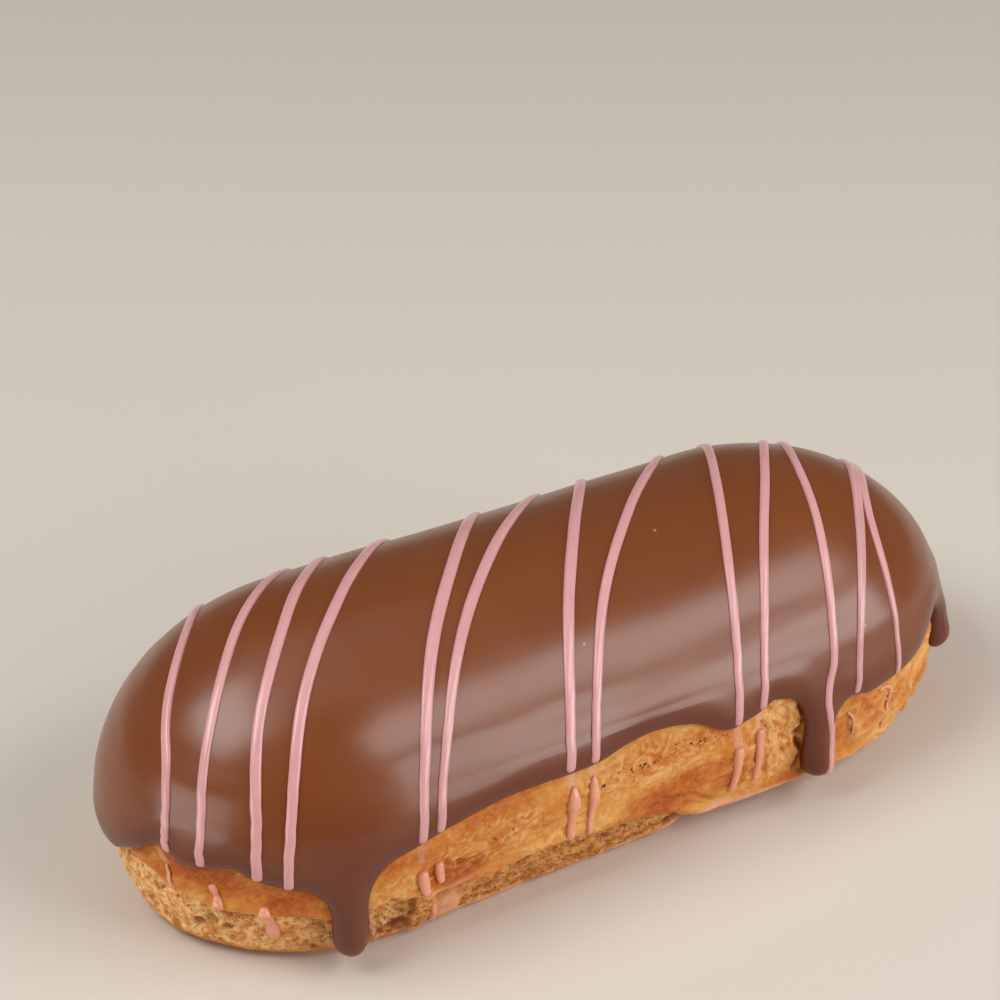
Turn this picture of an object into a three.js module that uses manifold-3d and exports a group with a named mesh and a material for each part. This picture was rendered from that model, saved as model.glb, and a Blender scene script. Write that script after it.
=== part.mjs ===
// A chocolate-iced eclair with pink piped lines, lying on its flat underside.
// Millimetres, +Z up, +X along the eclair, origin on the floor under its middle.
// "Near" is the -Y side, where the icing has run down in three drips.
import * as THREE from 'three';
import { ParametricGeometry } from 'three/addons/geometries/ParametricGeometry.js';
import { mergeVertices } from 'three/addons/utils/BufferGeometryUtils.js';
import Module from 'manifold-3d';

// ---------------------------------------------------------------- driving dimensions
const LENGTH = 140;            // over the icing, end to end
const WIDTH = 57.5;            // over the icing, without the drips
const HEIGHT = 42.4;           // floor to the top of the icing
const CROWN_FALL = 1.0;        // how much lower the crown is right of the middle than at the left
const FALL_START = -32;        // places along the eclair between which it falls
const FALL_END = 13;
const LEFT_END = 33.4;         // length of the rounded left end
const RIGHT_END = 35.3;        // length of the rounded right end
const BELLY = 15;              // height of the widest level
const ICING = 1.6;             // thickness of the icing
const GAP = 0.35;              // between touching pieces

const UNDERSIDE_SHARE = 0.85;  // half width of the flat underside over that of the choux belly
const FLANK_POWER = 2.2;       // roundness of the choux below the belly
const LIP_BULGE = 0.35;        // how far the crust's lower lip stands out
const FOOT_HEIGHT = 1.0;       // the thin baked edge round the underside

const RIM_RADIUS = 0.8;        // half height of the icing's rounded lower edge
const DRIP_START = 6;          // height above the belly where a drip begins to swell
const DRIP_SWELL = 0.9;        // how much thicker a drip is at its tip

const LINE_WIDTH = 1.8;        // a piped line
const LINE_HEIGHT = 0.8;
const LINE_TAPER = 0.12;       // share of a line's length over which each end narrows

const CHOUX_COLUMNS = 72;
const ICING_STEP = 4.6;        // spacing of the icing's columns away from the drips
const CROWN_ROWS = 6;
const LINE_STEPS = 17;
const LINE_SIDES = 5;

// ---------------------------------------------------------------- sizes worked out from them
const RADIUS = WIDTH / 2;
const RISE = HEIGHT - BELLY;
const LEFT_CENTRE = -LENGTH / 2 + LEFT_END;
const RIGHT_CENTRE = LENGTH / 2 - RIGHT_END;
const INSIDE_RADIUS = RADIUS - ICING;
const INSIDE_RISE = RISE - ICING;
const CHOUX_RADIUS = INSIDE_RADIUS - GAP;
const CHOUX_RISE = INSIDE_RISE - GAP;

// The distance round the belly starts at the left tip and runs along the near side first.
const quarterEllipse = (a, b) => Math.PI / 2 * Math.sqrt((a * a + b * b) / 2);
const LEFT_QUARTER = quarterEllipse(LEFT_END, RADIUS);
const RIGHT_QUARTER = quarterEllipse(RIGHT_END, RADIUS);
const HALFWAY = LEFT_QUARTER + RIGHT_CENTRE - LEFT_CENTRE + RIGHT_QUARTER;
const WAY_ROUND = 2 * HALFWAY;

// Height of the icing's lower edge: [distance round, height].
const RIM = [
  [0, 13.4], [10, 18.4], [19, 18.2], [31, 16.4], [41, 15.6], [50, 18], [58, 20.2], [66, 21.2],
  [83, 21.4], [92, 22.9], [100, 21.6], [104, 18.8], [111, 20.6], [117, 18.4], [127, 15.8],
  [135, 16], [142, 18.4], [147, 19.6], [160, 17.6], [HALFWAY, 17], [192, 19.5], [214, 21.5],
  [240, 18.5], [262, 21], [285, 20], [304, 17.6], [320, 14.8], [332, 12.6],
];

// Height of the crust's lower lip, in the same way.
const LIP = [
  [0, 12.5], [14, 12.2], [28, 10.3], [45, 9.6], [62, 8.5], [85, 7.6], [97, 5.6], [108, 4.6],
  [130, 4], [HALFWAY, 5], [200, 8], [235, 9], [270, 7.5], [300, 9.5], [325, 11.5],
];

// How far the pale band under the lip is set back, in the same way.
const SET_BACK = [
  [0, 0.1], [20, 0.2], [38, 0.7], [50, 1.2], [75, 1.4], [92, 1.1], [108, 0.4], [140, 0.1],
  [HALFWAY, 0.2], [200, 0.6], [235, 1.2], [270, 1], [300, 0.8], [325, 0.2],
];

// A drip: distance round, half width, height of its tip, and how quickly the edge
// sweeps into it from before and from after.
const DRIPS = [
  { at: 39.5, half: 2.7, tip: 3.4, before: 1.2, after: 2.9 },
  { at: 117.6, half: 2.4, tip: 3.8, before: 0.7, after: 1.6 },
  { at: 152.5, half: 2.5, tip: 8, before: 1.6, after: 1.6 },
  { at: 226, half: 2.6, tip: 6.5, before: 2.4, after: 1.6 },
  { at: 290, half: 2.4, tip: 9, before: 1.6, after: 3 },
];

// A piped line crosses the top from the near edge to the far edge. Its five places along
// the eclair are at the near edge, near shoulder, crest, far shoulder and far edge.
const LINES = [
  { places: [-67.1, -64.2, -59.7, -49.7, -40] },
  { places: [-64, -59.2, -49.9, -36, -24] },
  { places: [-58.1, -52.1, -41.1, -29.3, -18.5] },
  { places: [-54.4, -45.9, -32.8, -19.5, -7.5] },
  { places: [-36, -26.3, -14.5, -3.1, 7] },
  { places: [-33.3, -21.8, -8, 6.8, 19] },
  { places: [-12.2, -3.9, 6, 16.2, 25] },
  { places: [-8.3, 1.9, 15.6, 29.9, 41] },
  { places: [16.6, 23.5, 31.2, 39.1, 45.5] },
  { places: [20.8, 29.9, 40.1, 49.3, 55.5] },
  { places: [33.4, 40.3, 46.5, 52.6, 57.5], foot: 5.5 },
  { places: [38.3, 48.4, 56.6, 61.8, 63.8], branch: [46.6, 51.5, 57.7, 62.5, 64.5] },
];

// ---------------------------------------------------------------- small helpers
const clamp01 = (t) => Math.min(1, Math.max(0, t));
const mix = (a, b, t) => a + (b - a) * t;
const smooth = (t) => clamp01(t) ** 2 * (3 - 2 * clamp01(t));

// Value of a closed curve through [distance round, value] stations, at one distance round.
function along(stations, distance) {
  const count = stations.length;
  const station = (i) => {
    const turns = Math.floor(i / count);
    const [at, value] = stations[i - turns * count];
    return [at + turns * WAY_ROUND, value];
  };
  const s = ((distance % WAY_ROUND) + WAY_ROUND) % WAY_ROUND;
  let i = count - 1;
  while (stations[i][0] > s) i -= 1;
  const [before, from, to, after] = [i - 1, i, i + 1, i + 2].map(station);
  const t = (s - from[0]) / (to[0] - from[0]);
  const span = to[0] - from[0];
  const slopeFrom = (to[1] - before[1]) / (to[0] - before[0]) * span;
  const slopeTo = (after[1] - from[1]) / (after[0] - from[0]) * span;
  const rise = to[1] - from[1];
  return from[1] + t * (slopeFrom + t * (3 * rise - 2 * slopeFrom - slopeTo
    + t * (slopeFrom + slopeTo - 2 * rise)));
}

// Signed distance from a drip's middle, the short way round.
function fromDrip(drip, distance) {
  const d = distance - drip.at;
  return d - WAY_ROUND * Math.round(d / WAY_ROUND);
}

// ---------------------------------------------------------------- the plan of the eclair
// Place in plan at a distance round and a distance out from the middle line.
function inPlan(distance, out) {
  const s = ((distance % WAY_ROUND) + WAY_ROUND) % WAY_ROUND;
  const near = s <= HALFWAY;
  const m = near ? s : WAY_ROUND - s;
  const side = near ? -1 : 1;
  if (m < LEFT_QUARTER) {
    const turn = Math.PI / 2 * m / LEFT_QUARTER;
    return [LEFT_CENTRE - LEFT_END * out / RADIUS * Math.cos(turn), side * out * Math.sin(turn)];
  }
  if (m > HALFWAY - RIGHT_QUARTER) {
    const turn = Math.PI / 2 * (HALFWAY - m) / RIGHT_QUARTER;
    return [RIGHT_CENTRE + RIGHT_END * out / RADIUS * Math.cos(turn), side * out * Math.sin(turn)];
  }
  return [LEFT_CENTRE + m - LEFT_QUARTER, side * out];
}

// How far past the middle line's ends a place along the eclair is, as a share of that end.
function pastCentre(x) {
  return Math.max(0, (LEFT_CENTRE - x) / LEFT_END, (x - RIGHT_CENTRE) / RIGHT_END);
}

// Distance round of a place in plan.
function distanceRound(x, y) {
  const share = pastCentre(x);
  let m = LEFT_QUARTER + x - LEFT_CENTRE;
  if (share > 0) {
    const turn = Math.atan2(Math.abs(y) / RADIUS, share) / (Math.PI / 2);
    m = x < 0 ? LEFT_QUARTER * turn : HALFWAY - RIGHT_QUARTER * turn;
  }
  return y <= 0 ? m : WAY_ROUND - m;
}

// ---------------------------------------------------------------- the skins
// A crown is an arch of a given half width and rise on the belly level. The turn is 90
// degrees at the crest and 0 at the belly; below the belly the skin drops straight down.
function crown(halfWidth, rise, turn) {
  if (turn < 0) return [halfWidth, BELLY + rise * turn];
  return [halfWidth * Math.cos(turn), BELLY + rise * Math.sin(turn)];
}

// How much lower the skin is than an even one at a place along the eclair and a height.
function crownFall(x, height) {
  const share = smooth((x - FALL_START) / (FALL_END - FALL_START));
  return CROWN_FALL * share * clamp01((height - BELLY) / RISE);
}

function turnAt(rise, height) {
  const share = (height - BELLY) / rise;
  return share < 0 ? share : Math.asin(Math.min(1, share));
}

// Lower edge of the icing, drips included.
function rimHeight(distance) {
  let height = along(RIM, distance);
  for (const drip of DRIPS) {
    const d = fromDrip(drip, distance);
    const beside = Math.abs(d) - drip.half;
    const corner = drip.tip + drip.half * 0.9;
    if (beside <= 0) {
      height = Math.min(height, mix(corner, drip.tip, Math.sqrt(1 - (d / drip.half) ** 2)));
    } else {
      const fillet = d < 0 ? drip.before : drip.after;
      height = Math.min(height, height - (height - corner) * Math.exp(-beside / fillet));
    }
  }
  return height;
}

// How far a drip stands out of the icing's even skin.
function dripSwell(distance, height) {
  let swell = 0;
  for (const drip of DRIPS) {
    const across = clamp01(1 - Math.abs(fromDrip(drip, distance)) / (drip.half * 1.6));
    const start = BELLY + DRIP_START;
    swell += DRIP_SWELL * smooth(across) * smooth((start - height) / (start - drip.tip));
  }
  return swell;
}

// Half width of the choux below its belly: an arc in to the flat underside, with the
// crust's lip standing out over a set-back band and a thin foot.
function chouxFlank(distance, height) {
  const level = clamp01(1 - height / BELLY);
  const arc = (1 - level ** FLANK_POWER) ** (1 / FLANK_POWER);
  const plain = CHOUX_RADIUS * mix(UNDERSIDE_SHARE, 1, arc);
  const lip = along(LIP, distance);
  const over = LIP_BULGE * smooth((height - lip + 2) / 2) * smooth((BELLY - height) / 3);
  const band = smooth((lip - height) / 1.2) * smooth((height - FOOT_HEIGHT) / 1.5);
  return plain + over - along(SET_BACK, distance) * band;
}

// ---------------------------------------------------------------- geometry
// Merges a parametric sheet's doubled points and drops its flattened triangles, so that
// what is left is one closed body.
function closedBody(geometry) {
  geometry.deleteAttribute('normal');
  geometry.deleteAttribute('uv');
  const merged = mergeVertices(geometry, 1e-3);
  const corners = merged.getIndex().array;
  const kept = [];
  for (let i = 0; i < corners.length; i += 3) {
    const [a, b, c] = [corners[i], corners[i + 1], corners[i + 2]];
    if (a !== b && b !== c && c !== a) kept.push(a, b, c);
  }
  merged.setIndex(kept);
  return merged;
}

// A closed body from rows of [distance out, height] worked out for each column's distance
// round. The first and last row lie on the middle line.
function ringedBody(columns, rowsAt) {
  const rows = columns.map((distance) => rowsAt(distance));
  const steps = rows[0].length - 1;
  const place = (u, v, target) => {
    const column = Math.round(u * columns.length) % columns.length;
    const [out, height] = rows[column][Math.round((1 - v) * steps)];
    const [x, y] = inPlan(columns[column], out);
    target.set(x, y, height - crownFall(x, height));
  };
  return closedBody(new ParametricGeometry(place, columns.length, steps));
}

// The same columns on the near side as on the far side, so that they meet on the crest.
function mirrored(half) {
  return [...half, ...half.slice(1, -1).reverse().map((m) => WAY_ROUND - m)];
}

function evenColumns(count) {
  const half = Array.from({ length: count / 2 + 1 }, (_, i) => HALFWAY * 2 * i / count);
  return mirrored(half);
}

// Even columns, with closer ones where a drip's outline turns quickly.
function columnsForDrips(step) {
  const count = Math.round(HALFWAY / step);
  const half = Array.from({ length: count + 1 }, (_, i) => HALFWAY * i / count);
  for (const drip of DRIPS) {
    const at = Math.min(drip.at, WAY_ROUND - drip.at);
    for (const share of [-1.5, -1.05, -0.9, -0.5, 0, 0.5, 0.9, 1.05, 1.5]) {
      half.push(at + share * drip.half);
    }
  }
  half.sort((a, b) => a - b);
  const spaced = half.filter((m, i) => i === 0 || m - half[i - 1] > 0.35);
  spaced[spaced.length - 1] = HALFWAY;
  return mirrored(spaced);
}

function chouxRows(distance) {
  const lip = along(LIP, distance);
  const levels = [0, FOOT_HEIGHT, lip / 2, lip - 1, lip, mix(lip, BELLY, 0.5)];
  const rows = [[0, 0], ...levels.map((height) => [chouxFlank(distance, height), height])];
  for (let i = 0; i <= CROWN_ROWS; i += 1) {
    rows.push(crown(CHOUX_RADIUS, CHOUX_RISE, Math.PI / 2 * i / CROWN_ROWS));
  }
  return rows.reverse();
}

// Turns from the icing's lower edge up to the crest, with one where the belly begins to
// arch over a drip that hangs below it.
function turnsUp(edgeTurn) {
  const foot = Math.max(edgeTurn + 0.03, 0);
  const turns = [edgeTurn];
  for (let i = 0; i <= CROWN_ROWS; i += 1) turns.push(mix(foot, Math.PI / 2, i / CROWN_ROWS));
  return turns;
}

function icingRows(distance) {
  const edge = rimHeight(distance) + RIM_RADIUS;
  const outer = turnsUp(turnAt(RISE, edge)).map((turn) => {
    const [out, height] = crown(RADIUS, RISE, turn);
    return [out + dripSwell(distance, height), height];
  });
  const inner = turnsUp(turnAt(INSIDE_RISE, edge)).map((turn) => (
    crown(INSIDE_RADIUS, INSIDE_RISE, turn)
  ));
  const roll = [Math.PI / 3, 2 * Math.PI / 3].map((angle) => {
    const share = (1 - Math.cos(angle)) / 2;
    return [mix(outer[0][0], inner[0][0], share), edge - RIM_RADIUS * Math.sin(angle)];
  });
  return [...outer.reverse(), ...roll, ...inner];
}

// ---------------------------------------------------------------- piped lines
// The point of the icing's skin at a place along the eclair and a turn across it, which is
// 0 at the near belly, 90 degrees at the crest and 180 at the far belly, and the skin's
// direction there.
function onIcing(x, turn) {
  const share = Math.sqrt(Math.max(0, 1 - pastCentre(x) ** 2));
  const [out, height] = turn < 0
    ? [-share, BELLY + RISE * turn]
    : [-share * Math.cos(turn), BELLY + RISE * share * Math.sin(turn)];
  const y = RADIUS * out;
  const swell = dripSwell(distanceRound(x, y), height);
  const end = x < 0 ? -LEFT_END : RIGHT_END;
  const normal = new THREE.Vector3(
    pastCentre(x) / end,
    out / RADIUS,
    Math.max(0, height - BELLY) / RISE ** 2,
  ).normalize();
  const point = new THREE.Vector3(x, y, height - crownFall(x, height));
  return { point: point.addScaledVector(normal, swell), normal };
}

// A line's place along the eclair for a position across it, from -1 at the near edge
// through 0 at the crest to 1 at the far edge.
function placeAcross(places, across) {
  const t = clamp01((across + 1) / 2) * (places.length - 1);
  const i = Math.min(Math.floor(t), places.length - 2);
  const from = places[i];
  const to = places[i + 1];
  const slopeFrom = (to - (places[i - 1] ?? 2 * from - to)) / 2;
  const slopeTo = ((places[i + 2] ?? 2 * to - from) - from) / 2;
  const s = t - i;
  return from + s * (slopeFrom + s * (3 * (to - from) - 2 * slopeFrom - slopeTo
    + s * (slopeFrom + slopeTo - 2 * (to - from))));
}

// The turn at which a line meets a height on one side of the eclair.
function turnAtEdge(places, side) {
  let turn = 0;
  for (let step = 0; step < 4; step += 1) {
    const x = placeAcross(places, side * Math.cos(turn));
    const share = Math.sqrt(Math.max(0.05, 1 - pastCentre(x) ** 2));
    const rim = along(RIM, distanceRound(x, side * RADIUS * share * Math.cos(turn)));
    turn = Math.asin(clamp01((rim + LINE_WIDTH / 2 - BELLY) / (RISE * share)));
  }
  return turn;
}

// A half-round bead laid along a line, its ends tapered to a point.
function bead(places, foot) {
  const start = foot === undefined ? turnAtEdge(places, -1) : turnAt(RISE, foot);
  const end = Math.PI - turnAtEdge(places, 1);
  const skinAt = (t) => {
    const turn = mix(start, end, clamp01(t));
    return onIcing(placeAcross(places, -Math.cos(Math.max(0, turn))), turn);
  };
  const place = (u, v, target) => {
    const { point, normal } = skinAt(v);
    const forward = skinAt(v + 0.02).point.sub(skinAt(v - 0.02).point);
    const sideways = normal.clone().cross(forward).normalize();
    const fromEnd = clamp01(Math.min(v, 1 - v) / LINE_TAPER);
    const size = Math.sqrt(fromEnd * (2 - fromEnd));
    const angle = Math.PI * (Math.round(u * LINE_SIDES) % LINE_SIDES) / (LINE_SIDES - 1);
    target.copy(point).addScaledVector(normal, GAP + size * Math.sin(angle) * LINE_HEIGHT);
    target.addScaledVector(sideways, size * Math.cos(angle) * LINE_WIDTH / 2);
  };
  return closedBody(new ParametricGeometry(place, LINE_SIDES, LINE_STEPS));
}

// ---------------------------------------------------------------- joining
const wasm = await Module();
wasm.setup();

function solidOf(geometry) {
  return new wasm.Manifold(new wasm.Mesh({
    numProp: 3,
    vertProperties: new Float32Array(geometry.getAttribute('position').array),
    triVerts: new Uint32Array(geometry.getIndex().array),
  }));
}

function geometryOf(solid) {
  const mesh = solid.getMesh();
  const geometry = new THREE.BufferGeometry();
  geometry.setAttribute('position', new THREE.BufferAttribute(mesh.vertProperties, 3));
  geometry.setIndex(new THREE.BufferAttribute(mesh.triVerts, 1));
  return geometry;
}

// ---------------------------------------------------------------- finishes
const bakedChoux = new THREE.MeshStandardMaterial({
  color: 0xbf8149, roughness: 0.72, metalness: 0,
});
const chocolateIcing = new THREE.MeshStandardMaterial({
  color: 0x6b3c26, roughness: 0.38, metalness: 0,
});
const pinkIcing = new THREE.MeshStandardMaterial({
  color: 0xe0b0b0, roughness: 0.45, metalness: 0,
});

// ---------------------------------------------------------------- the eclair
function piece(name, geometry, finish) {
  const mesh = new THREE.Mesh(geometry, finish.clone());
  mesh.name = name;
  return mesh;
}

const group = new THREE.Group();
const chouxBody = ringedBody(evenColumns(CHOUX_COLUMNS), chouxRows);
group.add(piece('choux', chouxBody, bakedChoux));
const icingBody = ringedBody(columnsForDrips(ICING_STEP), icingRows);
group.add(piece('icing', icingBody, chocolateIcing));

LINES.forEach(({ places, foot, branch }, i) => {
  let line = bead(places, foot);
  if (branch) line = geometryOf(solidOf(line).add(solidOf(bead(branch))));
  group.add(piece(`piped_line_${String(i + 1).padStart(2, '0')}`, line, pinkIcing));
});

export default group;
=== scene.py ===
# A chocolate-iced eclair with thin pink piped lines, lying on a pale floor.
# Lengths are in millimetres until a mesh is made: +Z up, +X along the eclair, the origin on the
# floor under its middle. "Near" is the -Y side, where the icing has run down in drips.
from bisect import bisect_right
from functools import partial
from itertools import accumulate
from math import asin, atan2, cos, exp, floor, hypot, inf, pi, radians, sin, sqrt

import bmesh
import bpy
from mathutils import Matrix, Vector, kdtree, noise


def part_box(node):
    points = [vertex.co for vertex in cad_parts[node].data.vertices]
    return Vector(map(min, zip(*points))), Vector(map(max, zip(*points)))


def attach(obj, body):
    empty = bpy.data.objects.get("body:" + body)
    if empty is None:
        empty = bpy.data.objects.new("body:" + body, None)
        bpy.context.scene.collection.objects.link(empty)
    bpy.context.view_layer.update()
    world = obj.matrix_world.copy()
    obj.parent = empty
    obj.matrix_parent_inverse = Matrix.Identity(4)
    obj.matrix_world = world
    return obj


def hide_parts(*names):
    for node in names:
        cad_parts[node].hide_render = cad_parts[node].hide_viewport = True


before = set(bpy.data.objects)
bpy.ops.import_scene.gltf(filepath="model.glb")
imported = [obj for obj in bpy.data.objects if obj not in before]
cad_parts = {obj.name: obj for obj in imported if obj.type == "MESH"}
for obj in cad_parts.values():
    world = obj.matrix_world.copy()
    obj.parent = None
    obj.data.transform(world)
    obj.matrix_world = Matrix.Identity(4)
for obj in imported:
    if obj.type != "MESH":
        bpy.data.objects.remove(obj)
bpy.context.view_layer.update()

MM = 0.001

# ---------------- sizes
LENGTH = 140  # over the icing, end to end
RADIUS = 28.75  # half the width over the icing
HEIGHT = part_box("icing")[1].z / MM
BELLY = 15  # height of the widest level
LEFT_END = 33.4  # length of the rounded left end
RIGHT_END = 35.3  # and of the right one
ICING = 1.6  # thickness of the icing
BEDDING = 0.3  # how far the icing is bedded on the crust
CROWN_FALL = 1  # how much lower the crown is right of the middle than at the left
FALL_START, FALL_END = -32, 13  # it falls between these places along the eclair
CHOUX_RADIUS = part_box("choux")[1].y / MM
CHOUX_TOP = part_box("choux")[1].z / MM

RISE = HEIGHT - BELLY
CHOUX_RISE = CHOUX_TOP - BELLY
LEFT_CENTRE = -LENGTH / 2 + LEFT_END
RIGHT_CENTRE = LENGTH / 2 - RIGHT_END


def quarter_ellipse(a, b):
    return pi / 2 * sqrt((a * a + b * b) / 2)


# The distance round the belly starts at the left tip and runs along the near side first.
LEFT_QUARTER = quarter_ellipse(LEFT_END, RADIUS)
RIGHT_QUARTER = quarter_ellipse(RIGHT_END, RADIUS)
HALFWAY = LEFT_QUARTER + RIGHT_CENTRE - LEFT_CENTRE + RIGHT_QUARTER
WAY_ROUND = 2 * HALFWAY

# Height of the icing's lower edge between the drips: (distance round, height).
RIM = [
    (0, 12.9), (3.4, 14.7), (8, 17.3), (11.2, 19.3), (13.6, 18.2), (15.8, 17.4), (19.5, 17.9),
    (23.6, 18.4), (26.6, 16.9), (32.4, 15.2), (49, 18.4), (54.6, 19.7), (62.8, 21), (68, 21.2),
    (78.5, 21.2), (84.2, 22.5), (89.4, 22.9), (95.8, 21.7), (101, 18.8), (104, 19.2), (106.6, 19.8),
    (109.2, 20.9), (126.4, 15.7), (130, 15.8), (134, 16), (138.4, 16.8), (142.5, 18.7), (147, 19.8),
    (159, 17.6), (165, 17), (HALFWAY, 17), (181, 18.3), (192, 19.5), (203, 20.9), (214, 21.5),
    (240, 18.5), (246, 19.5), (254, 20), (262, 21), (272, 21), (280, 19.6), (299, 17.7), (306, 17.5),
    (312, 17.2), (319, 15), (327, 12.6), (335, 11.9),
]

# A drip: distance round, half width, height of its tip, and for each side how far along and
# how far down the rim sweeps into it.
DRIPS = [
    (39.5, 2.5, 2.9, (4.6, 5.6), (6, 8)),
    (117.6, 2.6, 4.3, (4, 6), (3.2, 4.5)),
    (152.5, 2.5, 8.8, (3.5, 5), (3.5, 5)),
    (226, 2.5, 6.5, (5.5, 8), (4, 6)),
    (290, 2.3, 9, (4.5, 5.5), (6.5, 5)),
]
DRIP_SWELL = 1  # how much a drip stands out at its middle
DRIP_START = 22  # height where a drip begins to swell

# Height of the crust's torn lower lip, and how far the pale crumb under it is set back.
LIP = [
    (0, 13.2), (5, 13.9), (9, 13.2), (12, 12.2), (15, 11.5), (20, 10.5), (27, 10.4), (32, 10.2),
    (37, 9.2), (46, 9.5), (50, 9.2), (54.5, 8.8), (60, 8.2), (65, 8.8), (73, 9.3), (80, 8.4), (87, 7.5),
    (91, 6.8), (95, 4.6), (99, 3.2), (112, 3), (130, 3), (HALFWAY, 5), (200, 8), (216, 8.8), (235, 8.6),
    (252, 7), (270, 7.5), (286, 9.2), (300, 9.8), (325, 11.8),
]
SET_BACK = [
    (0, 0.4), (20, 0.5), (34, 0.7), (43, 1.2), (50, 1.3), (75, 1.4), (90, 1.2), (99, 0.7), (108, 0.4),
    (140, 0.1), (HALFWAY, 0.2), (200, 0.8), (235, 1.2), (270, 1.1), (300, 0.8), (325, 0.35),
]
# How far the crust puffs out beyond the CAD solid's even flank.
PUFF = [
    (0, 0.2), (30, 0.1), (60, 0.2), (100, 0.1), (118, 0.1), (130, 0.1), (142, 0.1), (149, 0.7),
    (157, 1), (HALFWAY, 0.8), (190, 0.5), (230, 0.2), (290, 0.3),
]

# A piped line crosses the top from the near edge to the far edge: its width, the share of it
# left at the near edge, and its five places along the eclair, which are at the near edge, near
# shoulder, crest, far shoulder and far edge. The last two run into each other at the crest, where
# a third one fills what is left between them.
LINES = [
    [(1.5, 0.8, (-67.1, -64.2, -59.7, -49.7, -40))],
    [(1.45, 0.85, (-64, -59.2, -49.9, -36, -24))],
    [(1.65, 0.9, (-58.1, -52.1, -41.1, -29.3, -18.5))],
    [(1.65, 0.85, (-54.4, -45.9, -32.8, -19.5, -7.5))],
    [(1.85, 0.75, (-36, -26.3, -14.5, -3.1, 7))],
    [(1.7, 0.75, (-33.3, -21.8, -8, 6.8, 19))],
    [(1.75, 0.85, (-12.2, -3.9, 6, 16.2, 25))],
    [(1.55, 0.85, (-8.3, 1.9, 15.6, 29.9, 41))],
    [(1.5, 0.85, (16.6, 23.5, 31.2, 39.1, 45.5))],
    [(1.5, 0.8, (20.8, 29.9, 40.1, 49.3, 55.5))],
    [(1.4, 0.75, (33.5, 40.2, 45.9, 52.3, 57.3))],
    [(1.75, 0.6, (38.3, 48.5, 56.7, 61.7, 63.7)), (1.55, 0.58, (46.9, 50.9, 58.3, 63.2, 65.2)),
     (1.4, 0.6, (38.3, 48.5, 57.5, 62.5, 64.5))],
]
LINE_HEIGHT = 0.54  # how high a line's bead is
DRIP_LINE = 10  # index of the line that runs on down a drip
# How it wanders along the eclair on its way down: (height, shift).
DRIP_LINE_SWAY = [
    (40, 0), (27, 0.3), (23.5, 0.2), (20.5, -0.7), (17, -0.9), (11, -0.2), (6.8, -0.6), (4.9, -1.2),
]

# Pink dabs on the crust under the lines: (distance round, height, half width) down each one.
DABS = [
    [(11.6, 15.4, 0.22), (12.6, 13.4, 0.32), (13.5, 12.2, 0.22)],
    [(19.8, 14.8, 0.5), (20.1, 13.9, 0.6), (20.4, 12.9, 0.4), (20.8, 11.7, 0.8), (21.1, 10.4, 0.5)],
    [(27.6, 12.2, 0.5), (27.8, 10.9, 0.9), (28, 8.8, 0.6), (28.2, 6.9, 1), (28.3, 4.8, 0.7)],
    [(50.2, 13.6, 0.7), (50.3, 11.6, 0.85), (50.5, 9.7, 0.6)],
    [(52.8, 14.1, 0.55), (52.9, 12.3, 0.7), (53.1, 10.5, 0.55)],
    [(52.5, 5.8, 0.35), (52.8, 3.6, 0.5), (53.2, 1.2, 0.55)],
    [(74.8, 18.4, 0.3), (74.7, 16.8, 0.8), (74.6, 15.2, 0.95), (74.4, 13.4, 0.6), (74.1, 10.4, 0.6),
     (74, 8.3, 0.65)],
    [(78.3, 18.8, 0.3), (78.2, 17.2, 0.7), (78, 15.6, 0.8), (77.8, 13.6, 0.5), (77.5, 11, 0.45),
     (77.3, 8.6, 0.45)],
    [(103.1, 14.6, 0.65), (103, 13, 0.75), (102.9, 9.6, 0.6), (102.4, 6.4, 0.5)],
    [(107.1, 16.2, 0.65), (107, 14.6, 0.75), (106.9, 10.6, 0.6), (106.4, 7, 0.5)],
    [(123.4, 12.8, 0.16), (124.5, 11.4, 0.26), (124.9, 9.4, 0.26), (125, 7.8, 0.18)],
    [(129.9, 13.6, 0.16), (131.4, 13.7, 0.26), (133, 12.6, 0.34), (133.3, 11, 0.34),
     (132.8, 9, 0.28), (132.4, 6.8, 0.24), (132.4, 5, 0.18)],
    [(222, 12, 0.5), (222.2, 9.6, 0.75), (222.4, 7.4, 0.5)],
    [(258.5, 16.4, 0.6), (258.4, 14.2, 0.8), (258.2, 11, 0.5)],
    [(271, 15.4, 0.5), (271.1, 13.4, 0.7), (271.3, 10.6, 0.5)],
    [(311, 14.2, 0.5), (311.1, 12.6, 0.75), (311.2, 10.4, 0.5)],
]


# ---------------- small helpers
def clamp01(t):
    return min(1.0, max(0.0, t))


def mix(a, b, t):
    return a + (b - a) * t


def smooth(t):
    t = clamp01(t)
    return t * t * (3 - 2 * t)


def hump(value, middle, half):
    """1 at the middle, falling softly to 0 at half away from it."""
    return smooth(1 - abs(value - middle) / half)


def grain(place, size, seed=0.0):
    """Soft noise from -1 to 1; size is one length or one for each axis, in mm."""
    sizes = size if isinstance(size, tuple) else (size, size, size)
    return noise.noise(Vector((
        place.x / sizes[0] + seed, place.y / sizes[1] - seed, place.z / sizes[2] + 2 * seed)))


def hermite(before, start, end, after, t):
    """Value between start and end on a smooth curve through four (at, value) points."""
    span = end[0] - start[0]
    slope_start = (end[1] - before[1]) / (end[0] - before[0]) * span
    slope_end = (after[1] - start[1]) / (after[0] - start[0]) * span
    rise = end[1] - start[1]
    return start[1] + t * (slope_start + t * (
        3 * rise - 2 * slope_start - slope_end + t * (slope_start + slope_end - 2 * rise)))


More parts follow.
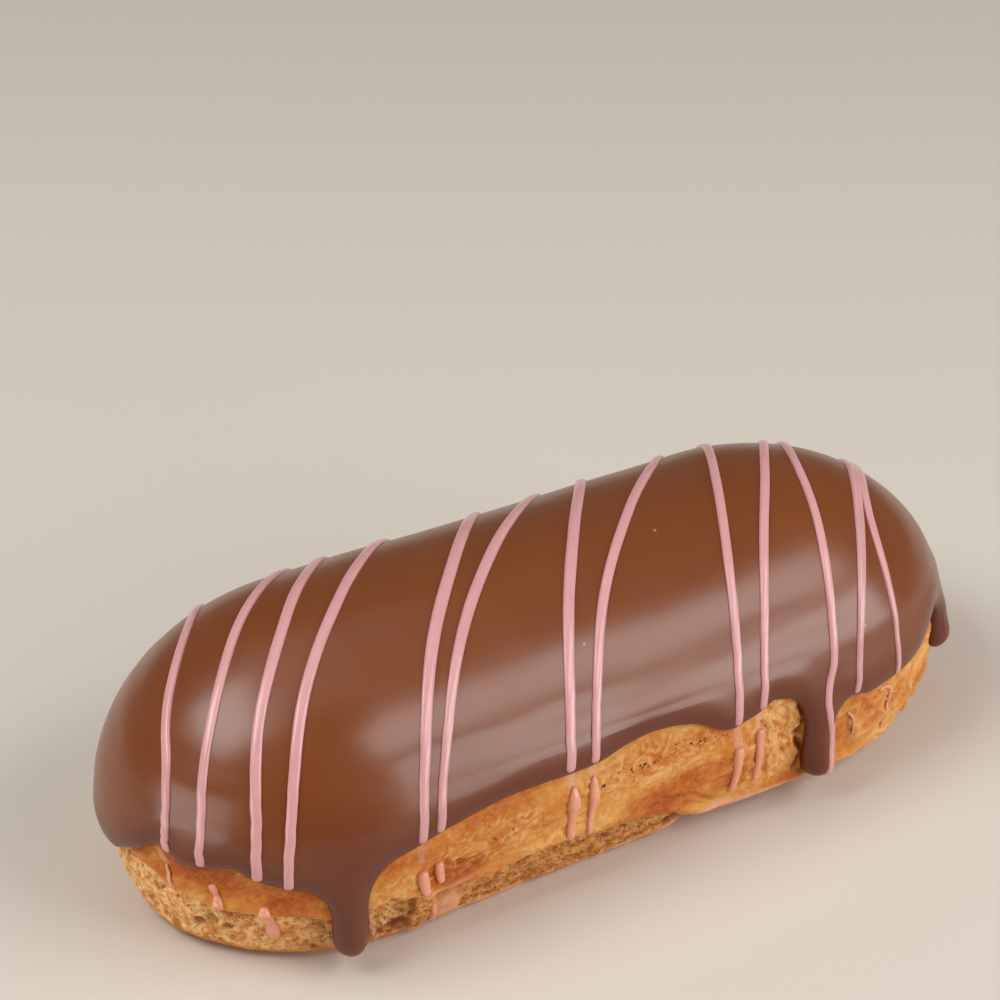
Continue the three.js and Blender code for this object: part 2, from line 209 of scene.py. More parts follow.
def through(points, at):
    """Value of the smooth curve through (at, value) points, given in falling order of at."""
    at = min(points[0][0], max(points[-1][0], at))
    i = next(k for k in range(len(points) - 1) if at >= points[k + 1][0])
    before, after = points[max(0, i - 1)], points[min(len(points) - 1, i + 2)]
    start, end = points[i], points[i + 1]
    if before is start:
        before = (2 * start[0] - end[0], start[1])
    if after is end:
        after = (2 * end[0] - start[0], end[1])
    return hermite(before, start, end, after, (at - start[0]) / (end[0] - start[0]))


def along(stations, distance):
    """Value of the closed curve through the stations at a distance round."""
    count = len(stations)

    def station(i):
        turns = floor(i / count)
        at, value = stations[i - turns * count]
        return at + turns * WAY_ROUND, value

    s = distance % WAY_ROUND
    i = bisect_right(stations, (s, 1e9)) - 1
    before, start, end, after = (station(k) for k in (i - 1, i, i + 1, i + 2))
    return hermite(before, start, end, after, (s - start[0]) / (end[0] - start[0]))


def round_trip(distance, place):
    """Signed distance from a place, the short way round."""
    d = distance - place
    return d - WAY_ROUND * round(d / WAY_ROUND)


def from_stroke(at, start, end):
    """How far along a stroke a place is, from 0 to 1, and how far away from it."""
    run, rise = end[0] - start[0], end[1] - start[1]
    across, up = at[0] - start[0], at[1] - start[1]
    t = clamp01((across * run + up * rise) / max(1e-12, run * run + rise * rise))
    return t, hypot(across - t * run, up - t * rise)


def walked(points, rise_share=1):
    """Way walked up to each of these points, a rise counted at a share of it."""
    steps = (hypot(b[0] - a[0], rise_share * (b[1] - a[1])) for a, b in zip(points, points[1:]))
    return list(accumulate(steps, initial=0.0))


# ---------------- the skins
def in_plan(distance, out):
    """Seen from above, the place at a distance round, this far out from the middle line."""
    s = distance % WAY_ROUND
    side = -1 if s <= HALFWAY else 1
    m = s if s <= HALFWAY else WAY_ROUND - s
    if m < LEFT_QUARTER:
        turn = pi / 2 * m / LEFT_QUARTER
        return LEFT_CENTRE - LEFT_END * out / RADIUS * cos(turn), side * out * sin(turn)
    if m > HALFWAY - RIGHT_QUARTER:
        turn = pi / 2 * (HALFWAY - m) / RIGHT_QUARTER
        return RIGHT_CENTRE + RIGHT_END * out / RADIUS * cos(turn), side * out * sin(turn)
    return LEFT_CENTRE + m - LEFT_QUARTER, side * out


def past_centre(x):
    """How far a place is past the centre of a rounded end, as a share of that end."""
    return max(0.0, (LEFT_CENTRE - x) / LEFT_END, (x - RIGHT_CENTRE) / RIGHT_END)


def distance_round(x, y):
    """Distance round the belly beside a place seen from above."""
    share = past_centre(x)
    m = LEFT_QUARTER + x - LEFT_CENTRE
    if share > 0:
        turn = atan2(abs(y) / RADIUS, share) / (pi / 2)
        m = LEFT_QUARTER * turn if x < 0 else HALFWAY - RIGHT_QUARTER * turn
    return m if y <= 0 else WAY_ROUND - m


def turn_at(height):
    """Turn of the icing's skin at a height: 90 degrees at the crest, 0 at the belly, and
    negative below it, where the skin drops straight down."""
    share = (height - BELLY) / RISE
    return share if share < 0 else asin(min(1.0, share))


def level_at(turn):
    """Height of the skin at a turn, before the crown's fall."""
    return BELLY + RISE * (turn if turn < 0 else sin(turn))


def crown_fall(x, level):
    share = smooth((x - FALL_START) / (FALL_END - FALL_START))
    return CROWN_FALL * share * clamp01((level - BELLY) / RISE)


def even_skin(distance, turn):
    """Place and outward direction on the icing's even skin."""
    x, y = in_plan(distance, RADIUS * cos(max(0.0, turn)))
    z = level_at(turn)
    z -= crown_fall(x, z)
    end = LEFT_END if x < 0 else RIGHT_END
    past = min(0.0, x - LEFT_CENTRE) + max(0.0, x - RIGHT_CENTRE)
    normal = Vector((past / end ** 2, y / RADIUS ** 2, max(0.0, z - BELLY) / RISE ** 2))
    return Vector((x, y, z)), normal.normalized()


def flank(height):
    """Half width of the even crust below its belly."""
    level = clamp01(1 - height / BELLY)
    return CHOUX_RADIUS * mix(0.85, 1, (1 - level ** 2.2) ** (1 / 2.2))


# ---------------- the icing's lower edge
def sweep_into(drip, side):
    """Points from the rim down one side of a drip: side is -1 for the side met first."""
    at, half, tip, before, after = drip
    reach, drop = before if side < 0 else after
    rim = along(RIM, at + side * (half + reach))
    corner = tip + half
    fillet = [(half + reach * (1 - sin(angle)), rim - drop * (1 - cos(angle)))
              for angle in map(radians, (0, 22, 45, 68, 90))]
    straight = [(half, mix(rim - drop, corner, share)) for share in (0.4, 0.8)]
    round_tip = [(half * cos(angle), corner - half * sin(angle)) for angle in map(radians, (25, 55))]
    return [(at + side * away, height) for away, height in fillet + straight + round_tip]


SWEEP_CLEAR = 1.2  # least distance between a drip's sweep and the rim's next point
EDGE_STEPS = 400  # along each half of the edge
FINE_STEPS = 12  # from one point to the next where the edge is measured
STEEP_SHARE = 0.3  # points on a drip's sides are this much sparser


def edge_points():
    """The lower edge all the way round as (distance round, height) points."""
    points = list(RIM)
    for drip in DRIPS:
        first, last = sweep_into(drip, -1), sweep_into(drip, 1)
        points = [p for p in points
                  if not first[0][0] - SWEEP_CLEAR < p[0] < last[0][0] + SWEEP_CLEAR]
        place = bisect_right(points, (drip[0], 0))
        points[place:place] = first + [(drip[0], drip[2])] + last[::-1]
    return points


def spaced_edge(points, count):
    """The near and far half of the edge, each as count + 1 points an even way apart."""
    loop = ([(d - WAY_ROUND, z) for d, z in points[-2:]] + points
            + [(d + WAY_ROUND, z) for d, z in points[:3]])
    way = walked(loop)
    fine = []
    for i in range(2, len(loop) - 3):
        for step in range(FINE_STEPS):
            fine.append(tuple(
                hermite(*((way[i + k], loop[i + k][axis]) for k in (-1, 0, 1, 2)), step / FINE_STEPS)
                for axis in (0, 1)))
    fine.append((fine[0][0] + WAY_ROUND, fine[0][1]))
    middle = next(i for i, (d, _) in enumerate(fine) if d >= HALFWAY - 1e-6)
    halves = []
    for part in (fine[:middle + 1], fine[middle:]):
        way = walked(part, STEEP_SHARE)
        half = []
        for k in range(count + 1):
            w = way[-1] * k / count
            i = min(bisect_right(way, w) - 1, len(part) - 2)
            t = (w - way[i]) / (way[i + 1] - way[i])
            half.append((mix(part[i][0], part[i + 1][0], t), mix(part[i][1], part[i + 1][1], t)))
        halves.append(half)
    return halves


NEAR_EDGE, FAR_EDGE = spaced_edge(edge_points(), EDGE_STEPS)
EDGE = NEAR_EDGE + FAR_EDGE[1:]
EDGE_TREE = kdtree.KDTree(3 * len(EDGE))
for lap in (-1, 0, 1):
    for k, (d, z) in enumerate(EDGE):
        EDGE_TREE.insert((d + lap * WAY_ROUND, z, 0), (lap + 1) * len(EDGE) + k)
EDGE_TREE.balance()


def from_edge(distance, height):
    """How far a place on the skin is from the icing's lower edge."""
    near, index, _ = EDGE_TREE.find((distance % WAY_ROUND, height, 0))
    k = index % len(EDGE)
    at = (distance % WAY_ROUND - near[0] + EDGE[k][0], height)
    beside_it = EDGE[max(0, k - 1):k + 2]
    return min(from_stroke(at, a, b)[1] for a, b in zip(beside_it, beside_it[1:]))


# ---------------- the icing
EDGE_ROLL = 3  # how far in the edge is rounded
EDGE_SHARE = 0.4  # share of the thickness that the edge's round starts from
ROUNDNESS = 2.4  # power of its round
UNDER_ROLL = 0.6  # how far in the edge is rounded on the underside
ROLL_STEPS = (0, 0.05, 0.17, 0.36, 0.64, 1)
FAN_TOP = 25.2  # height of the shoulder, above every place of the rim
FAN_ROWS = 16
TOP_ROWS = 50
INSIDE_ROWS = 8
INSIDE_FAN_ROWS = 3
FAR_IN = 99.0  # stands for a place well away from the edge
RIM_SHADE = 4.1  # how far up the icing's rim its painted shade reaches
SIDE_GAP = 0.03  # least distance between a column and the start of its neighbour
COLUMN_GAP = 0.06  # least distance between two columns at the shoulder


def drip_swell(distance, height):
    """How much a drip stands out at a place."""
    swell = 0.0
    for at, half, tip, _, _ in DRIPS:
        across = abs(round_trip(distance, at)) / half
        if across < 1.7 and height < DRIP_START:
            down = smooth((DRIP_START - height) / (DRIP_START - tip - 3))
            bulb = 0.45 * hump(height, tip + 2.2, 4.5)
            swell += (DRIP_SWELL * down + bulb) * smooth(1 - across / 1.7)
    return swell


def painted_shade_over_drip(distance, height):
    """How far a place is in the painted shade over a drip, from 0 to 1."""
    share = max(hump(round_trip(distance, drip[0]), 0, 13) for drip in DRIPS)
    return share * smooth((31 - height) / 14)


def coat(distance, turn, gap=None):
    """Place, outward direction and thickness of the icing's outer skin. gap is how far the
    place is from the lower edge."""
    place, normal = even_skin(distance, turn)
    level = level_at(turn)
    if gap is None:
        gap = from_edge(distance, level) if level < 31 else FAR_IN
    wave = 0.24 * grain(place, 25, 3.1) + 0.07 * grain(place, 10, 7.7)
    streaks = 0.15 * grain(place, (24, 24, 3.4), 5.5) + 0.06 * grain(place, (10, 10, 2), 6.5)
    wave += streaks * smooth((36 - level) / 8)
    pool = 0.16 * exp(-((gap - 3.2) / 1.8) ** 2)
    thickness = ICING + BEDDING + wave + pool + drip_swell(distance, place.z)
    thickness += tuck(distance, place.z)
    rounded = 1.0
    if gap < EDGE_ROLL:
        arc = (1 - (1 - gap / EDGE_ROLL) ** ROUNDNESS) ** (1 / ROUNDNESS)
        rounded = mix(EDGE_SHARE, 1, arc)
    inside = ICING + BEDDING + tuck(distance, place.z)
    return place + normal * (thickness * rounded - inside), normal, thickness


def tuck(distance, height):
    """How much further in a drip reaches, to lie against the crust below the belly."""
    if height >= BELLY:
        return 0.0
    return 0.8 * (CHOUX_RADIUS - flank(height)) + 0.5 * smooth((11 - height) / 4)


def underside(distance, turn, gap):
    """Place on the icing's inner skin, which lies in the crust and curls out to the edge."""
    place, normal = even_skin(distance, turn)
    inside = ICING + BEDDING + tuck(distance, place.z)
    if gap < UNDER_ROLL:
        _, _, thickness = coat(distance, turn, gap)
        inside -= thickness * EDGE_SHARE * (1 - sqrt(1 - (1 - gap / UNDER_ROLL) ** 2))
    return place - normal * inside


def running_mean(values, reach):
    """Each value with its neighbours' mean; the run goes on evenly past both ends."""
    count = len(values)
    padded = ([2 * values[0] - values[min(i, count - 1)] for i in range(reach, 0, -1)] + values
              + [2 * values[-1] - values[max(count - 1 - i, 0)] for i in range(1, reach + 1)])
    return [sum(padded[i:i + 2 * reach + 1]) / (2 * reach + 1) for i in range(count)]


def clear_of(above, start, side):
    """Where a column must reach the shoulder to pass beside the start of the one above it."""
    share = (above[1] - start[1]) / (FAN_TOP - start[1])
    if share < 0.02:
        return -side * inf
    return start[0] + (above[0] + SIDE_GAP * side - start[0]) / share


def shoulders(starts):
    """Where each column reaches the shoulder. Those that come up a drip's sides are spread
    towards its middle, so that no two of them cross."""
    means = running_mean([d for d, _ in starts], 4)
    rising, falling = list(means), list(means)
    for i in range(1, len(means)):
        rising[i] = max(means[i], rising[i - 1] + COLUMN_GAP,
                        clear_of(starts[i - 1], starts[i], 1))
        falling[-1 - i] = min(means[-1 - i], falling[-i] - COLUMN_GAP,
                              clear_of(starts[-i], starts[-1 - i], -1))
    places = []
    for (start, _), up, down in zip(starts, rising, falling):
        drip = min(DRIPS, key=lambda drip: abs(round_trip(start, drip[0])))
        places.append(up if round_trip(start, drip[0]) < 0 else down)
    for i in range(1, len(places)):
        places[i] = max(places[i], places[i - 1] + COLUMN_GAP / 4)
    places[0], places[-1] = starts[0][0], starts[-1][0]
    return places


def inward(edge, i):
    """Direction square to the edge, into the icing."""
    a, b = edge[max(0, i - 1)], edge[min(len(edge) - 1, i + 1)]
    run, rise = b[0] - a[0], b[1] - a[1]
    size = hypot(run, rise)
    return -rise / size, run / size


def sheet_mesh(name, columns, rows, place, marks):
    """A mesh from a grid bent so that place(column, row) gives each point in mm, and its value
    for each mark, which the mesh keeps as attributes."""
    sheet = bmesh.new()
    bmesh.ops.create_grid(sheet, x_segments=columns, y_segments=rows, size=0.5)
    layers = [sheet.verts.layers.float.new(mark) for mark in marks]
    for v in sheet.verts:
        spot, values = place(round((v.co.x + 0.5) * columns), round((v.co.y + 0.5) * rows))
        for layer, value in zip(layers, values):
            v[layer] = value
        v.co = spot * MM
    bmesh.ops.remove_doubles(sheet, verts=sheet.verts, dist=1e-7)
    return smooth_piece(name, sheet)


def smooth_piece(name, shape):
    """A smooth-shaded object from a closed bmesh, its faces turned outwards."""
    bmesh.ops.recalc_face_normals(shape, faces=shape.faces)
    for face in shape.faces:
        face.smooth = True
    mesh = bpy.data.meshes.new(name)
    shape.to_mesh(mesh)
    shape.free()
    piece = bpy.data.objects.new(name, mesh)
    bpy.context.scene.collection.objects.link(piece)
    return piece


def make_icing():
    """The coat hangs from evenly spaced points of its lower edge: square to the edge over the
    rounded part, then fanned out to an even height, then spread evenly up to the crest."""
    columns = []
    for edge in (NEAR_EDGE, FAR_EDGE):
        squares = [inward(edge, i) for i in range(len(edge))]
        squares[0] = squares[-1] = (0.0, 1.0)
        shoulder = shoulders([(d + across * ROLL_STEPS[-1], z + up * ROLL_STEPS[-1])
                              for (d, z), (across, up) in zip(edge, squares)])
        for i, (point, square) in enumerate(zip(edge, squares)):
            crest = (HALFWAY if edge is FAR_EDGE else 0) + HALFWAY * i / EDGE_STEPS
            columns.append((point, square, shoulder[i], crest))
    del columns[EDGE_STEPS + 1]
    rolled = len(ROLL_STEPS)
    outside = rolled + FAN_ROWS + TOP_ROWS
    inside = rolled - 1 + INSIDE_ROWS

    def spot(column, step, fan_rows, top_rows):
        (d, z), (across, up), shoulder, crest = columns[column]
        if step < rolled:
            gap = ROLL_STEPS[step]
            return d + across * gap, turn_at(z + up * gap), gap
        start_d, start_z = d + across * ROLL_STEPS[-1], z + up * ROLL_STEPS[-1]
        if step < rolled + fan_rows:
            t = ((step - rolled + 1) / fan_rows) ** 1.3
            return mix(start_d, shoulder, t), turn_at(mix(start_z, FAN_TOP, t)), None
        t = (step - rolled - fan_rows + 1) / top_rows
        return mix(shoulder, crest, t), mix(turn_at(FAN_TOP), pi / 2, t), FAR_IN

    def place(column, row):
        if row < outside:
            d, turn, gap = spot(column, outside - 1 - row, FAN_ROWS, TOP_ROWS)
            if gap is None:
                gap = from_edge(d, level_at(turn))
            # shade is painted shade: the rim and the icing over the drips are darkened in colour in
            # place of the dark reflection they would catch
            shade = max(exp(-(gap / RIM_SHADE) ** 2), 0.75 * painted_shade_over_drip(d, level_at(turn)))
            return coat(d, turn, gap)[0], (shade,)
        step = row - outside + 1
        d, turn, gap = spot(column, step, INSIDE_FAN_ROWS, INSIDE_ROWS - INSIDE_FAN_ROWS)
        return underside(d, turn, gap * UNDER_ROLL if step < rolled else FAR_IN), (1.0,)

    return sheet_mesh("iced_coat", len(columns) - 1, outside + inside - 1, place, ("painted_rim_shade",))


# ---------------- the choux
CRUST_COLUMNS = 940
FLANK_TOP = 23.5  # the crust shows below this height
FLANK_ROWS = 76
CROWN_ROWS = 6
CROWN_SUNK = 0.3  # how far the hidden crown lies below the icing's underside
UNDERSIDE_SHARES = (0, 0.35, 0.7, 0.88, 0.96)
FOOT_ROUND = 0.7  # radius of the baked edge round the underside
CRISP_AT, CRISP_REACH = 12, 28  # the lip is crisper and the crumb's cells larger round here
# What the mesh keeps for the crust's colours, each from 0 to 1: how far it is bare crumb, and how
# pale that is, a pore or crease (painted shade), browned (with painted shade below the icing's rim),
# floury or stained, a pale crest (with a painted highlight along the lip), and in a row of pinholes
# (painted shade).
MARKS = ("crumb", "pale", "pore_and_shade", "toast_and_rim_shade", "flour", "pale_crest", "pinhole_shade")
UNDERSIDE_MARKS = (0.0, 0.0, 0.0, 0.6, 0.25, 0.5, 0.0)
CROWN_MARKS = (0.0, 0.0, 0.0, 0.5, 0.0, 0.0, 0.0)

# A place on the crust is given as (distance round, height) in all the lists that follow.
# Creases: both ends, depth and half width.
CREASES = [
    ((54, 12.6), (58.4, 11.8), 0.3, 0.45), ((58.4, 11.8), (60.2, 8.6), 0.25, 0.4),
    ((90.2, 10.2), (95.5, 8.4), 0.25, 0.4), ((95.5, 8.4), (100.2, 5.6), 0.3, 0.5),
    ((79, 18.2), (84, 18.6), 0.25, 0.4), ((66, 14.4), (72, 13.2), 0.2, 0.4),
    ((127.5, 11), (131, 9.2), 0.12, 0.4), ((136, 12.5), (140, 9), 0.12, 0.5),
    ((183, 12), (192, 10.4), 0.3, 0.45), ((205, 14), (213, 13.2), 0.3, 0.45),
    ((243, 13.6), (252, 12), 0.3, 0.5), ((265, 15.2), (276, 14.2), 0.25, 0.45),
    ((301, 13.8), (309, 12.6), 0.25, 0.4), ((43.9, 2.9), (47.6, 3.9), 1.3, 0.5),
    ((48.4, 2.2), (49, 9.4), 0.5, 0.4), ((92.4, 3.4), (96.6, 3), 1.1, 0.7),
    ((114.2, 6), (115.4, 9), 0.9, 0.6), ((115.4, 9), (114, 12), 1, 0.6),
    ((114, 12), (115.6, 15), 1, 0.6), ((115.6, 15), (114.4, 18), 0.9, 0.6),
]
# Thin raised lips of crust: both ends, how high and half width.
THIN_LIPS = [
    ((42.5, 9), (42.9, 4.6), 0.5, 0.5), ((42.9, 4.6), (43.8, 1.2), 0.5, 0.5),
    ((43.6, 4.5), (48, 5.6), 0.45, 0.4), ((49.6, 8.9), (58, 9.6), 0.3, 0.45),
]
# Torn patches where the crumb shows: middle, half length, half height, how pale the crumb is.
TORN = [
    ((110.2, 13), 4.9, 8.4, 0.85), ((45.2, 7.4), 2.8, 3.6, 0.6), ((258, 9), 7, 5, 0.5),
    ((203, 15.5), 6.5, 3.4, 0.6),
]
# Patches where the crust is scaly with fine flakes: middle, half length and half height, as in
# the three lists after it.
SCALY = [
    ((88, 17), 17, 5.5), ((62, 14.5), 13, 4.6), ((47, 11), 7, 4), ((108, 12), 8, 9),
    ((74, 10.2), 12, 2.6), ((22, 7), 14, 4), ((136, 9), 12, 6), ((196, 15), 15, 5), ((236, 13), 20, 5),
    ((280, 15), 16, 5), ((318, 12), 12, 4),
]
# Patches where the crust is crumpled like paper.
CRUMPLED = [((136, 10), 17, 11), ((186, 14), 9, 5), ((284, 13), 8, 5)]
# Smooth patches browned deeper than the rest.
BROWNED = [
    ((94, 10), 14, 4.6), ((14, 14.8), 15, 3.4), ((34, 11.6), 8, 4.4), ((55, 11.6), 6, 2.6),
    ((225, 12), 12, 5), ((268, 12), 13, 4), ((305, 14), 12, 3.6), ((176, 12), 12, 5),
]
# Smooth pale patches, where the crust lay against the tray.
BARE = [((55, 3.2), 2.9, 3.4), ((234, 3), 4, 3.2)]
# Pink stains between a line's end and its dab: both ends, strength and half width.
STAINS = [
    ((9.6, 17.6), (11.6, 15.4), 0.7, 0.7), ((74.8, 21), (74.8, 18.2), 0.8, 0.9),
    ((78.4, 21.2), (78.3, 18.6), 0.8, 0.8), ((102.9, 19), (103.1, 14.6), 0.7, 0.8),
    ((107, 20), (107.1, 16.2), 0.8, 0.9), ((50.2, 18.4), (50.2, 14), 0.4, 0.8),
    ((258.6, 20), (258.5, 16.4), 0.5, 0.8), ((271, 20), (271, 15.4), 0.5, 0.8),
]
# Rows of pinholes: both ends of each.
PINHOLES = [
    ((78.6, 16.6), (83.6, 17.4)), ((83.6, 17.4), (90, 17.1)), ((91.6, 18.7), (101.4, 17.4)),
    ((106, 14), (110, 17)), ((61, 14.6), (66, 15)), ((252, 16.8), (262, 17.2)),
    ((206, 17), (216, 16.4)),
]
# Lumps that stand out: middle, half length, half height, how far out.
LUMPS = [
    ((50.4, 5), 2.7, 5.2, 1.2), ((75, 14), 16, 5, 0.35), ((104, 10), 8, 6, 0.3),
    ((31.5, 12.8), 7, 3, 0.3), ((210, 12.5), 12, 5, 0.4), ((262, 11.5), 14, 4.5, 0.4),
    ((241, 5), 3.5, 4.5, 0.8), ((300, 12.8), 10, 4, 0.3),
]
# How high the foot has lifted off the tray in baking, round the eclair.
LIFTED = [
    (0, 0.7), (22, 1.1), (36, 0.8), (44, 0.4), (60, 0.3), (88, 0.3), (92, 0.6), (94.5, 2.2), (99, 3.1),
    (108, 2.8), (116, 2.2), (128, 2.3), (134, 2.6), (140, 2.5), (147, 1.4), (155, 0.4), (HALFWAY, 0.3),
    (205, 0.4), (212, 1.8), (220, 1.6), (228, 0.4), (290, 0.3),
]
STROKE_REACH = 15  # a stroke is felt no further round than this from its start
UNDERCUT = 1.65  # how far in the lifted foot runs, as a share of its height
# Share of the foot that is pale with flour, round the eclair.
FLOURED = [
    (0, 0), (44, 0.1), (52, 0.9), (100, 1), (130, 0.8), (HALFWAY, 0.4), (240, 0.9), (300, 0.6),
    (330, 0.1),
]
# How pale the crumb of the torn band is, round the eclair.
CRUMB_PALE = [
    (0, 0.9), (28, 1), (36, 0.5), (46, 0.2), (58, 0.2), (96, 0.25), (130, 0.6), (HALFWAY, 0.7),
    (230, 0.2), (290, 0.3), (325, 0.8),
]


def deepest_stroke(strokes, distance, height):
    """Depth of the deepest of these grooves or lips at a place."""
    depth = 0.0
    for start, end, deep, half in strokes:
        run = round_trip(distance, start[0])
        if abs(run) < STROKE_REACH:
            t, away = from_stroke((start[0] + run, height), start, end)
            taper = sqrt(clamp01(4 * t * (1 - t)) + 0.15)
            depth = max(depth, deep * min(1.0, taper) * smooth(1.3 - away / half))
    return depth


def patch_share(patch, distance, height):
    """1 in the middle of a patch, falling softly to 0 a little outside it."""
    (at, up), half, tall = patch[:3]
    across = round_trip(distance, at) / half
    if abs(across) > 1.3:
        return 0.0
    return smooth(1.6 * (1.15 - hypot(across, (height - up) / tall)))


def in_patches(patches, distance, height):
    """How far a place is in any of these patches, from 0 to 1."""
    return max(patch_share(patch, distance, height) for patch in patches)


def pores(place, size, seed):
    """Depth from 0 to 1 of the open cells of the crumb, a little longer along the eclair, with
    thin walls left between them; some are hardly open."""
    spot = Vector((place.x / (1.2 * size) + seed, place.y / size, place.z / (0.85 * size)))
    distances, centres = noise.voronoi(spot)
    pick = noise.cell(centres[0] * 7.3 + Vector((seed, 0, 0)))
    return (0.15 + 0.85 * pick) * smooth((distances[1] - distances[0] - 0.08) * 2.1)


def scales(place):
    """Height from 0 to 1 of overlapping flakes: each rises slowly and ends in a sharp lip."""
    level = 2.4 * grain(place, (4.4, 4.4, 2.6), 31.0) + 0.5 * grain(place, (1.6, 1.6, 1.2), 33.0)
    return level - floor(level)


def ridge(place, sizes, seed, sharp):
    """Height from 0 to 1 of thin ridges that wander like the creases of crumpled paper."""
    return max(0.0, 1 - sharp * abs(grain(place, sizes, seed))) ** 2


def flaky_relief(place, crumpled, scaly):
    """How far folds, flakes and creases stand out of the crust, and how far they curl."""
    folds = 1 - abs(grain(place, (9, 9, 1.5), 6)) * 2
    flake = scales(place) * mix(0.35, 1, scaly) * (1 - crumpled)
    creased = max(ridge(place, (5.5, 5.5, 3.4), 35, 4.5),
                  0.6 * ridge(place, (2.6, 2.6, 1.9), 36, 4))
    wrinkle = ridge(place, (2.4, 2.4, 1.3), 37, 4)
    pale_crest = max(smooth((flake - 0.62) / 0.3), 0.7 * wrinkle * mix(0.4, 1, scaly), crumpled * creased)
    out = 0.14 * folds + 0.26 * (flake - 0.4) + 0.1 * (wrinkle - 0.5)
    return out + crumpled * (0.7 * creased - 0.5), pale_crest


def torn_fibres(place):
    """Height from 0 to 1 of the stretched fibres of torn crumb, upright and slanted ones."""
    slanted = Vector((place.x + 0.9 * place.z, place.y, place.z - 0.9 * place.x))
    return max(ridge(place, (1.7, 1.7, 6), 22, 2.6), ridge(slanted, (1.8, 1.8, 7), 23, 2.6))


def crust_shape(distance, height, place, local):
    """How far the crust stands out of its even flank at a place, and its colour marks."""
    lip, rim, set_back, puff, floured, pale, lifted = local
    crisp = smooth((CRISP_REACH - abs(round_trip(distance, CRISP_AT))) / 10)
    ragged = mix(0.55, 0.15, crisp) * grain(place, 3.2, 5) + 0.22 * grain(place, 1.3, 9)
    frayed = 0.5 * grain(place, (1.6, 1.6, 1.2), 4)
    past_lip = height - lip - ragged
    foot = 0.6 + 0.35 * grain(place, 3, 2) + 1.2 * lifted
    above_foot = smooth((height - foot) / 0.7)

    under = smooth(-past_lip / 0.45)
    band = under * above_foot
    torn = in_patches(TORN, distance, height)
    torn = smooth(1.5 * torn + frayed - 0.2) if torn > 0 else 0.0
    for patch in TORN:
        if patch_share(patch, distance, height) > 0.05:
            pale = mix(pale, patch[3], torn)
    bare = in_patches(BARE, distance, height)
    crumb = max(band, torn) * (1 - bare)
    scaly = in_patches(SCALY, distance, height + frayed)
    browned = in_patches(BROWNED, distance, height + frayed)
    crumpled = in_patches(CRUMPLED, distance, height)

    out = puff * hump(height, 9, 13) + 0.35 * grain(place, 16, 1) + 0.16 * grain(place, 6, 8)
    out += sum(lump[3] * patch_share(lump, distance, height) for lump in LUMPS)
    out += mix(0.5, 0.7, crisp) * hump(height, lip + 0.8, 1.6) * (1 - torn)
    out -= 0.3 * hump(past_lip, -0.7, 0.8) * (1 - torn) * (1 - bare)
    out -= set_back * under * (1 - 0.5 * bare) * mix(0.65, 1, above_foot)
    flakes, pale_crest = flaky_relief(place, crumpled, scaly)
    out += flakes * (1 - crumb)
    fibres = torn_fibres(place)
    out += torn * (0.6 * fibres - 0.6)
    out += crumb * (mix(0.2, 0.42, crisp) * grain(place, mix(1.6, 2.1, crisp), 12)
                    + mix(0.14, 0.07, crisp) * grain(place, (0.8, 0.8, 0.6), 13))
    out += 0.15 * grain(place, (2.2, 2.2, 9), 15) * (1 - above_foot)
    pore_and_shade = 0.0
    if crumb > 0.05:
        pore_and_shade = max(pores(place, mix(1.5, 2.3, crisp), 1), 0.5 * pores(place, 0.9, 2))
        pore_and_shade *= crumb * (1 - 0.75 * torn)
    crease = deepest_stroke(CREASES, distance + 0.5 * ragged, height + 0.6 * ragged)
    thin_lip = deepest_stroke(THIN_LIPS, distance + 0.3 * ragged, height + 0.4 * ragged)
    out += thin_lip - mix(0.55, 0.75, crisp) * pore_and_shade - crease

    # painted highlight: a pale line along the lip's edge; the other pale crests of flakes and fibres are
    # the crust's own paler edges
    lip_highlight = hump(past_lip, 0.1, 0.6) * (1 - torn) * mix(0.45, 1, crisp)
    pale_crest = max(pale_crest * (1 - crumb), torn * fibres, lip_highlight)
    flour = max(floured * (1 - above_foot) * smooth(0.75 + grain(place, 3, 14)), 0.8 * bare,
                1.6 * thin_lip, deepest_stroke(STAINS, distance, height))
    # Besides real browning, this holds painted shade: the crust is darker just below the icing's rim,
    # where the rim's overhang would shade it.
    toast_and_rim_shade = clamp01(0.4 + 0.4 * grain(place, (15, 15, 5), 16) + 0.25 * grain(place, 4, 17)
                    + 0.28 * browned - 0.1 * scaly + 0.15 * smooth((height - rim + 1.2) / 1.5)
                    + 0.2 * browned * grain(place, (9, 9, 1), 18))
    # Pinholes are painted shade: the holes are not modelled, only dark dots in the colour.
    pinhole_shade = deepest_stroke([(a, b, 1, 0.65) for a, b in PINHOLES], distance, height)
    crumb *= mix(1, 0.5, torn * (1 - band))
    # The pore mark is painted shade: pores and creases are darkened in colour as well as sunk.
    return out, (crumb, pale, clamp01(pore_and_shade + 0.8 * crease), toast_and_rim_shade, clamp01(flour), pale_crest, pinhole_shade)


def undercut(lifted, height):
    """How far in the crust runs under its lifted edge."""
    drop = lifted - height
    return UNDERCUT * (sqrt(drop * drop + 0.04) + drop) / 2


def crust_values(distance):
    """What the crust is like round the eclair, read from the lists above."""
    return tuple(along(stations, distance) for stations in
                 (LIP, RIM, SET_BACK, PUFF, FLOURED, CRUMB_PALE, LIFTED))


def even_crust(height):
    """Half width of the even crust at a height, below and above its belly."""
    if height < BELLY:
        return flank(height)
    return CHOUX_RADIUS * cos(asin((height - BELLY) / CHOUX_RISE))


